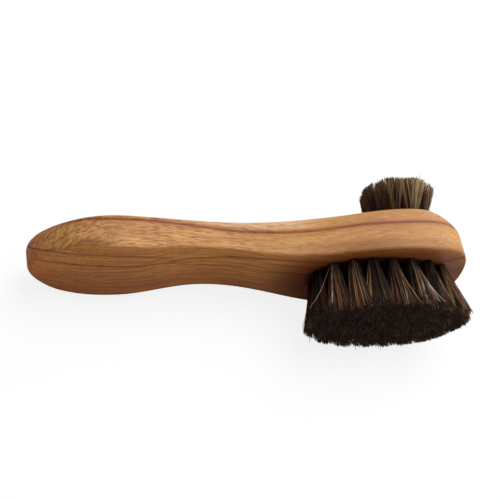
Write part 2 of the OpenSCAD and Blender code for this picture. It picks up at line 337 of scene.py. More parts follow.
class Recipe(Nodes):
    """The nodes of one finish, round one Principled shader."""

    def __init__(self, name: str, shader: dict) -> None:
        """Makes the material.

        Args:
            name: Name of the material.
            shader: Constant values of the shader's sockets by name.
        """
        self.material = bpy.data.materials.new(name)
        self.material.use_nodes = True
        super().__init__(self.material.node_tree)
        self.tree.nodes.clear()
        self.shader = self.tree.nodes.new("ShaderNodeBsdfPrincipled")
        self.output = self.tree.nodes.new("ShaderNodeOutputMaterial")
        self.tree.links.new(self.shader.outputs[0], self.output.inputs[0])
        for key, value in shader.items():
            self.shader.inputs[key].default_value = value

    def feed(self, key: str, value: Shade) -> None:
        """Links a value to one of the shader's inputs."""
        self.link(value, self.shader.inputs[key])

    def scaled(self, place: tuple, size: tuple) -> Shade:
        """A vector of three values, each divided by its size."""
        return self.add("ShaderNodeCombineXYZ", {}, {k: place[k] / size[k] for k in range(3)})

    def part(self, vector: Shade, axis: int) -> Shade:
        """One of a vector's three numbers."""
        return self.add("ShaderNodeSeparateXYZ", {}, {0: vector}, axis)

    def noise(self, place: tuple, size: tuple, detail: float = 2.0, rough: float = 0.5) -> Shade:
        """Smooth noise between 0 and 1.

        Args:
            place: The three values that it runs over.
            size: Length of about one wave along each of them.
            detail: Number of finer layers.
            rough: Share that each finer layer keeps.

        Returns:
            The noise.
        """
        values = {"Vector": self.scaled(place, size), "Scale": 1.0, "Detail": detail, "Roughness": rough}
        return self.add("ShaderNodeTexNoise", {}, values)

    def mix(self, factor: "Shade | float", low: "Shade | tuple", high: "Shade | tuple",
            blend: str = "MIX") -> Shade:
        """Mixes two colours.

        Args:
            factor: Share of the second colour's effect.
            low: Colour at 0.
            high: Colour at 1, or what it is blended with.
            blend: Way of blending.

        Returns:
            The mixed colour.
        """
        pair = [colour if isinstance(colour, Shade) else (*colour, 1.0) for colour in (low, high)]
        settings = {"data_type": "RGBA", "blend_type": blend}
        return self.add("ShaderNodeMix", settings, {0: factor, 6: pair[0], 7: pair[1]}, 2)

    def shaded(self, colour: Shade, amount: "Shade | float", by: tuple) -> Shade:
        """The colour, multiplied by another one as far as the amount says."""
        return self.mix(amount, colour, self.mix(1.0, colour, by, "MULTIPLY"))

    def drawing(self) -> tuple[Shade, Shade, Shade]:
        """The drawing's place, from Object coordinates.

        Returns:
            x, y and z in millimetres.
        """
        place = self.add("ShaderNodeTexCoord", {}, {}, "Object")
        along, reach, high = [self.part(place, axis) * PER_METRE for axis in range(3)]
        return along + BODY_LENGTH / 2, HEAD_WIDTH / 2 - high, reach - (LARGE_REACH - SMALL_REACH) / 2

    def facing(self) -> Shade:
        """How far the surface looks along the bristles: -1 down the large ones, 1 up the small ones."""
        return self.part(self.add("ShaderNodeTexCoord", {}, {}, "Normal"), 1)

    def bump(self, height: Shade, strength: float, distance: float) -> None:
        """Feeds a height to the shader's Normal through a Bump node, with the distance in metres."""
        values = {"Height": height, "Strength": strength, "Distance": distance}
        self.feed("Normal", self.add("ShaderNodeBump", {}, values))


class Grain(NamedTuple):
    """A point of the wood in millimetres: the drawing's x, y and z, and the wood's own directions.

    The rise is the height above the near side's growth line, radial and tangent are the distances
    across the grain, and over is the height above the seam on the handle's end.
    """

    x: Shade
    y: Shade
    z: Shade
    rise: Shade
    radial: Shade
    tangent: Shade
    over: Shade


class Zones(NamedTuple):
    """Places where the wood looks different, each from 0 to 1.

    They are the handle, the near side, the faces that look down to the large bristles, these with
    what lies below the seam on the handle's end, and the end grain above that seam.
    """

    handle: Shade
    near: Shade
    down: Shade
    lower: Shade
    end: Shade


class Waves(NamedTuple):
    """Noises that several of the wood's marks share."""

    wander: Shade
    broad: Shade
    curl: Shade
    streak: Shade
    wisp: Shade
    fine: Shade


@dataclass(frozen=True)
class BeechFinish:
    """Fine-sanded bare beech: growth rings, long streaks, ray dashes and a few reddish growth lines.

    The first three colours are tones of the wood, and the others are what a mark, a tint or a painted
    shade multiplies the tone by. A line is its start and its turns, as run() takes them. A pair that ends
    in _x, _y, _rise or _depth is where a smooth step starts and where it is full, in millimetres.
    """

    gold: tuple = (0.625, 0.335, 0.098)
    pink: tuple = (0.590, 0.305, 0.112)
    pale_band: tuple = (0.800, 0.560, 0.360)
    late: tuple = (0.72, 0.58, 0.44)
    dark_tint: tuple = (0.72, 0.60, 0.52)
    pore: tuple = (0.42, 0.29, 0.17)
    hatch: tuple = (0.50, 0.38, 0.27)
    reddish: tuple = (0.50, 0.28, 0.19)
    blush: tuple = (0.82, 0.64, 0.55)
    end_warmth: tuple = (1.12, 0.95, 0.86)
    # Painted shade: the faces that look down are darker and redder.
    underside_shade: tuple = (0.98, 0.84, 0.73)
    # Painted shade: the head darkens round the large patch's roots, where the bristles shade it.
    rim_shade: tuple = (0.42, 0.28, 0.22)
    core_shade: tuple = (0.14, 0.12, 0.11)
    ring_step: float = 2.7
    ring_curve: float = 0.009
    ring_wander: float = 9.0
    ray_turn: float = 38.0
    dash_size: tuple = (5.2, 6.0, 0.36)
    end_reach: float = 33.0
    end_rise: float = 25.0
    end_seam: float = 5.6
    near_line: tuple = (6.1, (48.0, 118.0, -5.1), (118.0, 140.0, 0.7), (150.0, 190.0, 2.6))
    outer_line: tuple = (-11.6, (38.0, 60.0, 3.2))
    inner_line: tuple = (-5.6, (45.0, 120.0, -5.4))
    faint_line: tuple = (-5.4, (55.0, 67.0, 2.8))
    handle_x: tuple = (112.0, 80.0)
    end_x: tuple = (42.0, 28.0)
    tip_x: tuple = (10.0, 1.0)
    below_seam_x: tuple = (14.0, 9.0)
    past_seam_x: tuple = (8.0, 10.5)
    outer_from_x: tuple = (12.0, 9.0)
    outer_to_x: tuple = (64.0, 50.0)
    faint_from_x: tuple = (52.0, 58.0)
    pale_band_from_x: tuple = (55.0, 75.0)
    pale_band_to_x: tuple = (125.0, 105.0)
    head_from_x: tuple = (118.0, 140.0)
    head_to_x: tuple = (184.0, 168.0)
    near_y: tuple = (2.0, 9.0)
    knot_y: tuple = (10.0, 13.0)
    pale_band_y: tuple = (4.0, 8.0)
    pale_band_rise: tuple = (0.8, 2.4)
    shade_depth: tuple = (4.0, 8.0)
    knot_place: tuple = (24.0, -6.2)
    knot_half: tuple = (10.0, 2.4)
    shade_middle: float = 146.0
    shade_half: tuple = (34.0, 16.4)
    gloss: float = 0.3
    rough: float = 0.46
    bump_height: float = 0.00007

    def make(self) -> bpy.types.Material:
        """Builds the material on the drawing's millimetres."""
        return BeechWood(self).finished()


class BeechWood(Recipe):
    """The beech finish as it is built: its nodes, a point of the wood, and the zones and waves there."""

    def __init__(self, finish: BeechFinish) -> None:
        """Starts the material and works out the point, its zones and its waves.

        Args:
            finish: Colours and sizes of the finish.
        """
        super().__init__("beech", {"Specular IOR Level": finish.gloss})
        self.finish = finish
        self.at = self.grain()
        self.zones = self.zoned()
        self.waves = self.waved()

    @staticmethod
    def run(x: Shade, start: float, *turns: tuple) -> Shade:
        """The start plus, for each turn, its change times the smooth step.

        Args:
            x: Place along the body.
            start: Value at the handle's end.
            *turns: For each turn, where it starts, where it ends, and its change.

        Returns:
            The value at x.
        """
        total = x * 0.0 + start
        for low, high, change in turns:
            total = total + x.step(low, high) * change
        return total

    def grain(self) -> Grain:
        """The wood's own directions.

        The grain runs along x and falls from the handle to the neck with the near side's growth line.
        Across it, the radial direction is y cos a + rise sin a and the tangential one rise cos a -
        y sin a. On the handle's end the layers turn up steeply, by the square of the distance to
        their turn.

        Returns:
            The point.
        """
        x, y, z = self.drawing()
        rise = z - self.run(x, *self.finish.near_line)
        turn = math.radians(self.finish.ray_turn)
        cosine, sine = math.cos(turn), math.sin(turn)
        short = 1.0 - x.math("MINIMUM", self.finish.end_reach) / self.finish.end_reach
        tangent = rise * cosine - y * sine + short * short * self.finish.end_rise
        return Grain(x, y, z, rise, y * cosine + rise * sine, tangent, z - y - self.finish.end_seam)

    def zoned(self) -> Zones:
        """Where the wood looks different, by where the point lies and where its face looks.

        Returns:
            The zones.
        """
        x, side = self.at.x, -self.at.y
        down = (-self.facing()).step(0.45, 0.9)
        below = self.at.over.step(0.5, -0.5) * x.step(*self.finish.below_seam_x) * side.step(-1.0, 1.0)
        lower = down.most(below)
        end = x.step(*self.finish.end_x) * (1.0 - lower)
        return Zones(x.step(*self.finish.handle_x), side.step(*self.finish.near_y), down, lower, end)

    def waved(self) -> Waves:
        """The shared noises.

        Streaks and wisps are drawn out along the grain and bent by the curl. A shift parts noises that
        would look alike.

        Returns:
            The noises.
        """
        x, y, z, rise, radial, tangent, _ = self.at
        curl = self.noise((x, y, z + 140.0), (20.0, 9.0, 7.0), 1.0) - 0.5
        flow = tangent + curl * 2.2
        return Waves(
            wander=self.noise((x, y, z), (48.0, 22.0, 22.0)),
            broad=self.noise((x, radial, rise), (26.0, 5.0, 5.0)),
            curl=curl,
            streak=self.noise((x, radial + curl * 2.0, flow), (34.0, 0.8, 0.75), 4.0, 0.65),
            wisp=self.noise((x, radial, flow + 3.6), (11.0, 0.7, 0.4)),
            fine=self.noise((x, radial, tangent), (5.0, 0.5, 0.5), 3.0, 0.6))

    def rings(self) -> Shade:
        """Late wood of the growth rings.

        The radial distance, bent by the square of the tangential one, plus wander, is cut into steps.
        The cube of the way through a step is its late wood, and a noise over the steps leaves some out.

        Returns:
            The marks, from 0 to 1.
        """
        depth = self.at.radial + self.at.tangent * self.at.tangent * self.finish.ring_curve
        depth = depth + self.waves.wander * self.finish.ring_wander + self.waves.fine * 0.4
        ring = depth / self.finish.ring_step
        kept = self.noise((ring.math("FLOOR") * 3.7, self.at.x, 0.0), (1.0, 60.0, 1.0), 0.0)
        return ring.math("FRACT") ** 3.0 * kept.step(0.3, 0.65)

    def lower_lines(self) -> Shade:
        """Long fine lines along the grain below the handle.

        Returns:
            The marks, from 0 to 1.
        """
        place = self.at.x, self.at.y + self.waves.curl * 3.0, self.at.z + 30.0
        return self.noise(place, (40.0, 1.1, 6.0), 3.0, 0.6).step(0.44, 0.6) * self.zones.lower

    def dashes(self) -> Shade:
        """Short brown ray dashes, most of them on the handle and few below.

        They are the cores of some Voronoi cells, long along the grain, thin across it and deep along
        the rays.

        Returns:
            The marks, from 0 to 1.
        """
        across = self.at.tangent + self.waves.curl * 3.0 + self.waves.fine * 0.2
        place = self.scaled((self.at.x, self.at.radial, across), self.finish.dash_size)
        cell = {"Vector": place, "Scale": 1.0}
        core = self.add("ShaderNodeTexVoronoi", {}, cell, "Distance").step(0.46, 0.26)
        chance = self.part(self.add("ShaderNodeTexVoronoi", {}, cell, "Color"), 0)
        dash = core * (chance + self.zones.handle * 0.45 + self.waves.broad * 0.5).step(0.95, 1.4)
        return dash * (1.0 - self.zones.lower * 0.85) * (1.0 - self.zones.end * 0.5)

    def end_hatch(self) -> Shade:
        """Cross-hatched end grain on the handle's end: a coarse slanted noise and a fine round one.

        Returns:
            The marks, from 0 to 1.
        """
        x, y = self.at.x, self.at.y
        slant = self.at.tangent + self.waves.curl * 2.0
        coarse = self.noise((x, y, slant), (2.2, 2.6, 0.62)).step(0.44, 0.56)
        fine = self.noise((x, y, self.at.rise), (0.6, 0.6, 0.6), 1.0).step(0.42, 0.6)
        return (coarse * 0.7 + fine * 0.3) * self.zones.end

    def knot(self) -> Shade:
        """A small long knot on the near side of the handle's end, from an oval's squared radius.

        Returns:
            The mark, from 0 to 1.
        """
        place, half = self.finish.knot_place, self.finish.knot_half
        along = ((self.at.x - place[0]) / half[0]) ** 2.0
        high = ((self.at.z - place[1] - self.waves.curl * 1.5) / half[1]) ** 2.0
        near = (-self.at.y).step(*self.finish.knot_y)
        return (along + high).step(1.2, 0.2) * near * (1.0 - self.zones.down)

    def growth_lines(self) -> tuple[Shade, Shade]:
        """The reddish growth lines.

        Each is a thin sheet: one at the height of the near side's line, and three upright ones under
        the handle, of which the outer one climbs the handle's end as its seam.

        Returns:
            The blush round the near side's line, and the lines, from 0 to 1.
        """
        finish, zones, x, y = self.finish, self.zones, self.at.x, self.at.y
        ragged = (self.waves.streak - 0.5) * 1.1 + (self.waves.wander - 0.5)
        near = abs(self.at.rise + ragged * 0.4)
        climb, side = self.at.over * 0.7, self.run(x, *finish.outer_line) - y
        seam = climb + (side - climb) * x.step(*finish.past_seam_x)
        outer = abs(seam + ragged * 0.5).step(0.55, 0.15) * (-y).step(0.0, 2.0)
        outer = outer * x.step(*finish.outer_to_x) * zones.down.most(x.step(*finish.outer_from_x))
        inner = abs(y - self.run(x, *finish.inner_line) + ragged * 0.5).step(0.7, 0.15)
        faint = abs(y - self.run(x, *finish.faint_line) + ragged * 0.5).step(0.8, 0.2)
        under = (inner * 0.8).most(faint * x.step(*finish.faint_from_x) * 0.5) * zones.down
        lines = (near.step(1.05, 0.3) * zones.near).most(under).most(outer)
        return near.step(3.2, 0.3) * zones.near * 0.8, lines * self.waves.broad.step(0.0, 0.35) * 0.85

    def bristle_shade(self) -> tuple[Shade, Shade]:
        """Painted shade round the large patch's roots, inside an oval, where the bristles shade the head.

        Returns:
            The oval's soft rim and its core, from 0 to 1.
        """
        half = self.finish.shade_half
        along, across = (self.at.x - self.finish.shade_middle) / half[0], self.at.y / half[1]
        oval = along ** 2.0 + across ** 2.0 + (self.waves.wander - 0.5) * 0.4
        low = (-self.at.z).step(*self.finish.shade_depth)
        return oval.step(2.4, 0.9) * low, oval.step(0.98, 0.72) * low

    def ground(self) -> Shade:
        """The wood's tone below its marks.

        Gold and pink change slowly. A pale band lies above the near side's line, the wood grows darker
        and redder towards the far side and on the head's side, and the tip of the handle is warmer.

        Returns:
            The colour.
        """
        finish, x = self.finish, self.at.x
        pale = self.at.rise.step(*finish.pale_band_rise) * x.step(*finish.pale_band_from_x)
        pale = pale * x.step(*finish.pale_band_to_x) * (-self.at.y).step(*finish.pale_band_y)
        far = (self.at.y + self.waves.wander * 8.0 - self.at.z * 0.3).step(-4.0, 18.0)
        head = x.step(*finish.head_from_x) * x.step(*finish.head_to_x) * (0.45 - self.zones.down * 0.45)
        base = self.mix(self.waves.broad.step(0.35, 0.65), finish.gold, finish.pink)
        base = self.mix(pale * 0.7, base, finish.pale_band)
        base = self.shaded(base, far, finish.dark_tint)
        base = self.shaded(base, head, finish.dark_tint)
        return self.shaded(base, x.step(*finish.tip_x), finish.end_warmth)

    def finished(self) -> bpy.types.Material:
        """Lays mark after mark over the ground, and feeds the shader.

        Returns:
            The material.
        """
        finish, waves, zones = self.finish, self.waves, self.zones
        plain = (1.0 - zones.end * 0.7) * (0.45 + zones.handle * 0.55)
        dash, hatch = self.dashes(), self.end_hatch()
        blush, lines = self.growth_lines()
        rim, core = self.bristle_shade()
        marks = (
            (self.rings() * 0.6, finish.late),
            (waves.streak.step(0.38, 0.64) * plain * 0.6, finish.late),
            (waves.wisp.step(0.48, 0.56) * plain * (0.8 - zones.lower * 0.4), finish.late),
            (self.lower_lines() * 0.65, finish.late),
            (waves.fine.step(0.4, 0.7) * 0.35, finish.late),
            (hatch * 0.95, finish.hatch),
            (self.knot() * 0.75, finish.pore),
            (dash * 0.9, finish.pore),
            (blush, finish.blush),
            (lines, finish.reddish),
            # Painted shade: the faces that look down are darker and redder.
            (zones.lower, finish.underside_shade),
            # Painted shade round the large patch's roots, where the bristles shade the head.
            (rim, finish.rim_shade),
            (core, finish.core_shade))
        base = self.ground()
        for share, colour in marks:
            base = self.shaded(base, share, colour)
        self.feed("Base Color", base)
        self.feed("Roughness", finish.rough + waves.fine * 0.1 + dash * 0.08)
        self.bump(1.0 - waves.fine * 0.4 - dash * 0.7 - hatch * 0.3, 0.4, finish.bump_height)
        return self.material


@dataclass(frozen=True)
class HairFinish:
    """Horsehair, in which each hair has its own tone on a ramp.

    Attributes:
        name: Name of the material.
        stops: Places and colours of the ramp.
        tip: Colour that a hair takes on near its end.
        tip_share: How much of it.
        cut: Colour of a trimmed end, darker than the hair: painted shade on the patch's trimmed face.
        cut_shade_share: How much of it.
        root_shade: What the colour is multiplied by at the root.
        end_light: What it is multiplied by at the end.
        gloss: Strength of its reflections.
        rough: Least roughness.
    """

    name: str
    stops: tuple
    tip: tuple
    tip_share: float
    cut: tuple
    cut_shade_share: float
    root_shade: float
    end_light: float = 1.6
    gloss: float = 0.1
    rough: float = 0.5

    def make(self) -> bpy.types.Material:
        """Builds the material on the hairs' tone and along attributes, which run from 0 to 1.

        A hair is shaded towards its root and brightened towards its end, where the tip's colour mixes in;
        these are painted shade and painted light. A trimmed end is known by its face, which looks along
        the hair, and its darker cut colour is painted shade.

        Returns:
            The material.
        """
        hair = Recipe(self.name, {"Specular IOR Level": self.gloss})
        tone = hair.add("ShaderNodeAttribute", {"attribute_name": "tone"}, {}, "Fac")
        along = hair.add("ShaderNodeAttribute", {"attribute_name": "along"}, {}, "Fac")
        patchy = hair.noise(hair.drawing(), (1.3, 1.3, 4.0))
        root = (along + patchy * 0.3 - 0.15).step(0.75, 0.0)
        rim = (along + patchy * 0.2 - 0.1).step(0.6, 1.0)
        end = abs(hair.facing()).step(0.75, 0.95)
        colour = hair.add("ShaderNodeValToRGB", {"stops": list(self.stops)}, {0: tone})
        colour = hair.shaded(colour, root, (self.root_shade,) * 3)
        colour = hair.shaded(colour, rim, (self.end_light,) * 3)
        colour = hair.mix(rim * self.tip_share, colour, self.tip)
        hair.feed("Base Color", hair.mix(end * self.cut_shade_share, colour, self.cut))
        hair.feed("Roughness", self.rough + patchy * 0.15)
        return hair.material


@dataclass(frozen=True)
class WireFinish:
    """Flat drawn steel wire, dull, with fine lines along the draw."""

    pale: tuple = (0.55, 0.54, 0.52)
    dull: tuple = (0.36, 0.35, 0.33)
    line_size: tuple = (0.05, 3.0, 0.05)
    rough: float = 0.38
    bump_height: float = 0.00003

    def make(self) -> bpy.types.Material:
        """Builds the material: noise drawn out along y shades the metal and its roughness.

        Returns:
            The material.
        """
        wire = Recipe("drawn_wire", {"Metallic": 1.0})
        lines = wire.noise(wire.drawing(), self.line_size, 3.0)
        wire.feed("Base Color", wire.mix(lines, self.pale, self.dull))
        wire.feed("Roughness", self.rough + lines * 0.2)
        wire.bump(lines, 0.2, self.bump_height)
        return wire.material


@dataclass(frozen=True)
class BodyForm:
    """Sizes of the wooden body and the heights and widths that follow from them.

    The pommel is the swelling of the handle. A bulge is the squareness of an end's oval, where 2 is an
    ellipse. The ups and downs are the heights of the upper and the lower rim at the stations.
    """

    pommel_w: float = 34.0
    pommel_x: float = 28.5
    pommel_bulge: float = 2.0
    neck_w: float = 25.2
    neck_x: float = 85.0
    head_x: float = 155.0
    head_bulge: float = 2.44
    stations: tuple = (0.0, 38.5, 69.0, 123.0, 165.0, BODY_LENGTH)
    ups: tuple = (7.3, 10.5, 10.5, 9.4, 11.6, 7.2)
    downs: tuple = (6.3, 8.0, 5.3, 11.5, 11.4, 8.5)
    lower_round: float = 1.25
    upper_round: float = 5.0
    grip_arch_r: float = 70.0
    head_arch_r: float = 400.0

    def face(self, x: np.ndarray, side: Face) -> np.ndarray:
        """Height of a face's rim at x."""
        return side.value * eased(x, self.stations, self.ups if side is Face.UPPER else self.downs)

    def half_width(self, x: np.ndarray) -> np.ndarray:
        """Half of the body's width: an oval end, eased sides, and a squared oval nose.

        Args:
            x: Places along the body.

        Returns:
            The half width at each place.
        """
        x = np.asarray(x, dtype=float)
        places = self.pommel_x, self.neck_x, self.head_x
        sides = eased(x, places, (self.pommel_w, self.neck_w, HEAD_WIDTH))
        tail = np.clip((self.pommel_x - x) / self.pommel_x, 0.0, 1.0)
        nose = np.clip((x - self.head_x) / (BODY_LENGTH - self.head_x), 0.0, 1.0)
        shrink = (1.0 - tail ** self.pommel_bulge) ** (1.0 / self.pommel_bulge)
        shrink = shrink * (1.0 - nose ** self.head_bulge) ** (1.0 / self.head_bulge)
        return sides / 2 * shrink

    def arch(self, x: np.ndarray, y: np.ndarray, half: np.ndarray) -> np.ndarray:
        """How far a face stands out past its rim: (half squared - y squared) / twice the radius."""
        bend = eased(x, (self.neck_x, self.stations[3]), (1.0 / self.grip_arch_r, 1.0 / self.head_arch_r))
        return np.maximum(0.0, half ** 2 - y ** 2) / 2 * bend

    def wood_at(self, x: np.ndarray, y: np.ndarray, side: Face) -> np.ndarray:
        """Height of the wood's face at a place on it."""
        inset = self.lower_round if side is Face.LOWER else self.upper_round
        return self.face(x, side) + side.value * self.arch(x, y, self.half_width(x) - inset)


@dataclass
class WoodenBody:
    """The body: handle, neck and head in one piece, with a drilled hole for each tuft.

    Attributes:
        form: Sizes of the body.
        holes: Place, face, radius and floor of each hole.
        end_points: Steps round the handle's end, and round the nose.
        side_points: Steps along a side.
        round_steps: Steps through a rounding.
        wall_steps: Steps up a wall.
        across: Steps across a face.
        end_soft: What the lower rounding has grown by at the handle's end.
        end_soft_x: Where that is reached, and where it starts.
        chamfer: Width of the chamfer at a hole's mouth.
        drill_past: How far a drill stands out past the face.
        drill_sides: Number of a drill's sides.
        crease: Angle between faces in degrees, past which an edge is sharp.
    """

    form: BodyForm
    holes: list
    end_points: int = 60
    side_points: int = 150
    round_steps: int = 8
    wall_steps: int = 4
    across: int = 22
    end_soft: float = 1.4
    end_soft_x: tuple = (1.5, 14.0)
    chamfer: float = 0.3
    drill_past: float = 0.7
    drill_sides: int = 48
    crease: float = 38.0

    def half_outline(self) -> np.ndarray:
        """Half of the plan, from the handle's end to the nose.

        Returns:
            Rows of x and half width.
        """
        form = self.form
        turn = np.linspace(0.0, np.pi / 2, self.end_points + 1)
        tail = np.stack([
            form.pommel_x * (1 - bent(np.cos(turn), form.pommel_bulge)),
            form.pommel_w / 2 * bent(np.sin(turn), form.pommel_bulge)], 1)
        x = np.linspace(form.pommel_x, form.head_x, self.side_points + 1)[1:-1]
        side = np.stack([x, form.half_width(x)], 1)
        nose = np.stack([
            form.head_x + (BODY_LENGTH - form.head_x) * bent(np.cos(turn[::-1]), form.head_bulge),
            HEAD_WIDTH / 2 * bent(np.sin(turn[::-1]), form.head_bulge)], 1)
        return np.concatenate([tail, side, nose])

    @staticmethod
    def drawn_in(line: np.ndarray, inset: np.ndarray) -> np.ndarray:
        """The half outline moved in, square to itself, with its ends on the middle.

        Args:
            line: Rows of x and half width.
            inset: Distance to move in for each row.

        Returns:
            The rows moved in.
        """
        run = line[2:] - line[:-2]
        square = np.stack([run[:, 1], -run[:, 0]], 1) / np.linalg.norm(run, axis=1, keepdims=True)
        out = line.copy()
        out[1:-1] += inset[1:-1, None] * square
        out[1:-1, 1] = np.maximum(out[1:-1, 1], LEAST_HALF)
        out[0] = inset[0], 0.0
        out[-1] = BODY_LENGTH - inset[-1], 0.0
        return out

    def rounded(self, side: Face, line: np.ndarray, radius: np.ndarray) -> list:
        """Half rings through a rounding, from its face to the wall.

        At an angle a the plan is drawn in by r (1 - sin a), r (1 - cos a) away from the face.

        Args:
            side: The face that the rounding belongs to.
            line: Rows of x and half width of the plan.
            radius: Radius r for each row.

        Returns:
            Rows of x and half width, and the heights, of each ring.
        """
        rings = []
        for a in np.linspace(0.0, np.pi / 2, self.round_steps + 1):
            half = self.drawn_in(line, radius * (1 - np.sin(a)))
            rings.append((half, self.form.face(half[:, 0], side) - side.value * radius * (1 - np.cos(a))))
        return rings

    def rings(self) -> list:
        """Half rings round the body, from its lower face to its upper one.

        Straight walls stand between the roundings. The lower rounding grows towards the handle's end.

        Returns:
            Rows of x and half width, and the heights, of each ring.
        """
        line = self.half_outline()
        start, stop = self.end_soft_x
        soft = self.end_soft * (1.0 - ease((line[:, 0] - start) / (stop - start)))
        low = self.rounded(Face.LOWER, line, self.form.lower_round + soft)
        high = self.rounded(Face.UPPER, line, np.full(len(line), self.form.upper_round))
        floor, roof = low[-1][1], high[-1][1]
        shares = np.linspace(0.0, 1.0, self.wall_steps + 1)[1:-1]
        upright = [(line, floor + (roof - floor) * share) for share in shares]
        return low + upright + high[::-1]

    def lid(self, side: Face, half: np.ndarray, start: int, base: int) -> tuple:
        """One face of the body: a grid from side to side within a ring, raised by the face's arch.

        Args:
            side: Which face.
            half: Rows of x and half width of the ring.
            start: Number of the ring's first point.
            base: Number that the grid's first new point gets.

        Returns:
            The new points, the four-sided faces, and the two fans that close the ends.
        """
        last = len(half) - 1
        inside = half[1:-1]
        share = np.linspace(-1.0, 1.0, self.across + 1)[1:-1]
        x = np.repeat(inside[:, :1], len(share), axis=1)
        y = inside[:, 1:] * share
        z = self.form.face(x, side) + side.value * self.form.arch(x, y, inside[:, 1:])
        row = np.arange(1, last)[:, None]
        inner = base + np.arange(x.size).reshape(x.shape)
        grid = np.concatenate([start + row, inner, start + 2 * last - row], 1)
        quads = np.stack([grid[:-1, :-1], grid[1:, :-1], grid[1:, 1:], grid[:-1, 1:]], -1).reshape(-1, 4)
        tail = np.stack([np.full(self.across, start), grid[0, :-1], grid[0, 1:]], 1)
        nose = np.stack([np.full(self.across, start + last), grid[-1, 1:], grid[-1, :-1]], 1)
        points = np.stack([x, y, z], -1).reshape(-1, 3)
        return points, side.outward(quads), [side.outward(tail), side.outward(nose)]

    def blank(self) -> bpy.types.Mesh:
        """The undrilled body: walls between whole rings, and a lid on each face.

        Returns:
            The closed mesh.
        """
        rings = self.rings()
        skin = np.array([
            np.concatenate([
                np.stack([half[:, 0], -half[:, 1], z], 1),
                np.stack([half[:, 0], half[:, 1], z], 1)[-2:0:-1]]) for half, z in rings])
        number = np.arange(skin.shape[0] * skin.shape[1]).reshape(skin.shape[:2])
        points, quads, fans = [skin.reshape(-1, 3)], [walls(number).reshape(-1, 4)], []
        base = number.size
        for side, ring in ((Face.LOWER, 0), (Face.UPPER, -1)):
            grid, faces, ends = self.lid(side, rings[ring][0], number[ring, 0], base)
            points.append(grid)
            quads.append(faces)
            fans += ends
            base += len(grid)
        return surface("beech_body", np.concatenate(points), np.concatenate(quads), np.concatenate(fans))

    def drills(self) -> bpy.types.Mesh:
        """One closed cutter for each hole, all in one mesh.

        A profile of radius and height, from the hole's floor up to the chamfer and past the face, is
        turned about the hole's middle.

        Returns:
            The mesh of all cutters.
        """
        angle = np.linspace(0.0, 2.0 * np.pi, self.drill_sides, endpoint=False)
        points, quads, fans, base = [], [], [], 0
        for x, y, side, radius, floor in self.holes:
            top = float(self.form.wood_at(x, y, side)) * side.value
            mouth = top + self.drill_past
            profile = np.array([
                [radius, floor], [radius, top - self.chamfer],
                [radius + self.chamfer + self.drill_past, mouth]])
            ring = np.stack([
                x + profile[:, :1] * np.cos(angle),
                y + profile[:, :1] * np.sin(angle),
                np.repeat(profile[:, 1:], len(angle), axis=1) * side.value], -1)
            ends = np.array([[x, y, floor * side.value], [x, y, mouth * side.value]])
            points.append(np.concatenate([ring.reshape(-1, 3), ends]))
            number = base + np.arange(len(profile) * len(angle)).reshape(len(profile), -1)
            turned = np.roll(number, -1, axis=1)
            foot = np.stack([turned[0], number[0], np.full(len(angle), base + number.size)], 1)
            head = np.stack([number[-1], turned[-1], np.full(len(angle), base + number.size + 1)], 1)
            quads.append(side.outward(walls(number).reshape(-1, 4)))
            fans += [side.outward(foot), side.outward(head)]
            base += number.size + 2
        return surface("drills", np.concatenate(points), np.concatenate(quads), np.concatenate(fans))

    def build(self, material: bpy.types.Material) -> bpy.types.Object:
        """Drills the blank, smooths its roundings, and gives it its finish and its place in the frame.

        Args:
            material: Finish of the wood.

        Returns:
            The body.
        """
        piece = shown("beech_body", self.blank())
        cutter = shown("drills", self.drills())
        cut = piece.modifiers.new("holes", "BOOLEAN")
        cut.operation = "DIFFERENCE"
        cut.solver = "EXACT"
        cut.object = cutter
        bpy.context.view_layer.update()
        seen = piece.evaluated_get(bpy.context.evaluated_depsgraph_get())
        drilled = bpy.data.meshes.new_from_object(seen)
        piece.modifiers.clear()
        piece.data = drilled
        bpy.data.objects.remove(cutter)
        drilled.shade_smooth()
        drilled.set_sharp_from_angle(angle=math.radians(self.crease))
        drilled.materials.clear()
        drilled.materials.append(material)
        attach(piece, "root")
        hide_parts("wooden_body")
        return piece


